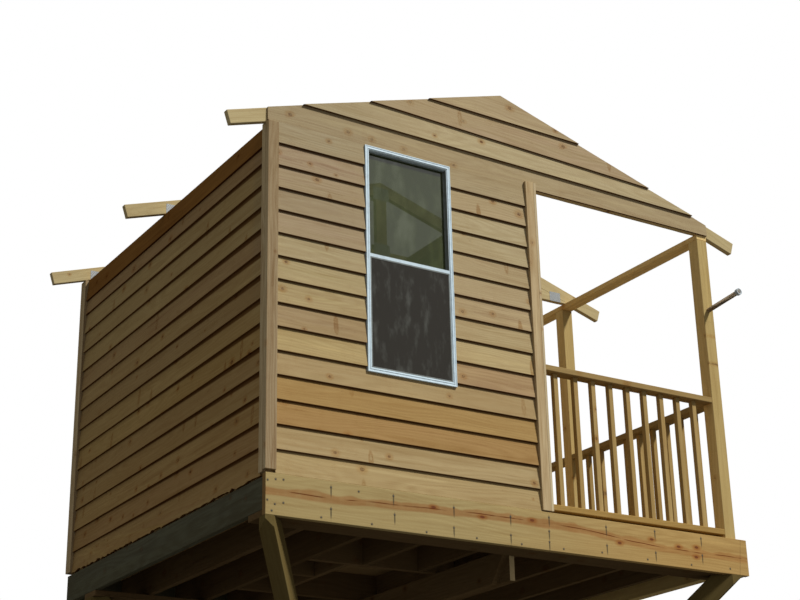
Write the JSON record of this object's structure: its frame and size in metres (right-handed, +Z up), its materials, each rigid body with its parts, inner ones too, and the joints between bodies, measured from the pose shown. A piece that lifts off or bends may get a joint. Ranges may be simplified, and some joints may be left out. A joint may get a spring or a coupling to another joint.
{
  "type": "tree house",
  "caption": "Timber tree house with a lap-sided cabin, a railed side porch and bare roof trusses on a joisted platform with knee braces.",
  "frame": {"origin": "on the left face of the carrier beam, where it bears on the trunk, at the trunk's centre line and the beam's mid height", "axes": "+X to the right along the front, +Y to the back, +Z up; the front with the window faces -Y"},
  "size_m": [3.97, 3.197, 5.0396],
  "materials": {
    "treated_board": "matte",
    "weathered_board": "matte",
    "framing_timber": "matte",
    "treated_timber": "matte",
    "floor_sheet": "matte",
    "stud_timber": "matte",
    "cedar_siding": "matte",
    "cedar_trim": "matte",
    "window_metal": "satin",
    "window_glass": "gloss",
    "insect_screen": "matte",
    "truss_timber": "matte",
    "nail_plate": "satin",
    "peg_wood": "matte"
  },
  "bodies": {
    "root": {"front_fascia": "treated_board", "right_rim": "treated_board", "left_rim": "weathered_board", "back_rim": "weathered_board", "floor_joists": "framing_timber", "trunk_headers": "framing_timber", "trunk_trimmer": "framing_timber", "trunk_blocking": "framing_timber", "floor_bearers": "framing_timber", "carrier_beam": "framing_timber", "knee_braces": "treated_timber", "cabin_floor": "floor_sheet", "porch_deck": "floor_sheet", "front_wall_plates": "stud_timber", "front_wall_studs": "stud_timber", "back_wall_plates": "stud_timber", "back_wall_studs": "stud_timber", "left_wall_plates": "stud_timber", "left_wall_studs": "stud_timber", "right_wall_plates": "stud_timber", "right_wall_studs": "stud_timber", "front_siding": "cedar_siding", "back_siding": "cedar_siding", "left_siding": "cedar_siding", "right_siding": "cedar_siding", "front_gable_siding": "cedar_siding", "back_gable_siding": "cedar_siding", "front_left_trim": "cedar_trim", "back_left_trim": "cedar_trim", "front_right_trim": "cedar_trim", "back_right_trim": "cedar_trim", "window_frame": "window_metal", "window_glass": "window_glass", "window_screen": "insect_screen", "truss_left_chords": "truss_timber", "truss_right_chords": "truss_timber", "truss_ties": "truss_timber", "truss_king_posts": "truss_timber", "truss_nail_plates": "nail_plate", "porch_posts": "treated_timber", "side_plate": "truss_timber", "front_railing": "treated_timber", "side_railing_front": "treated_timber", "side_railing_rear": "treated_timber", "post_peg": "peg_wood"}
  },
  "joints": []
}
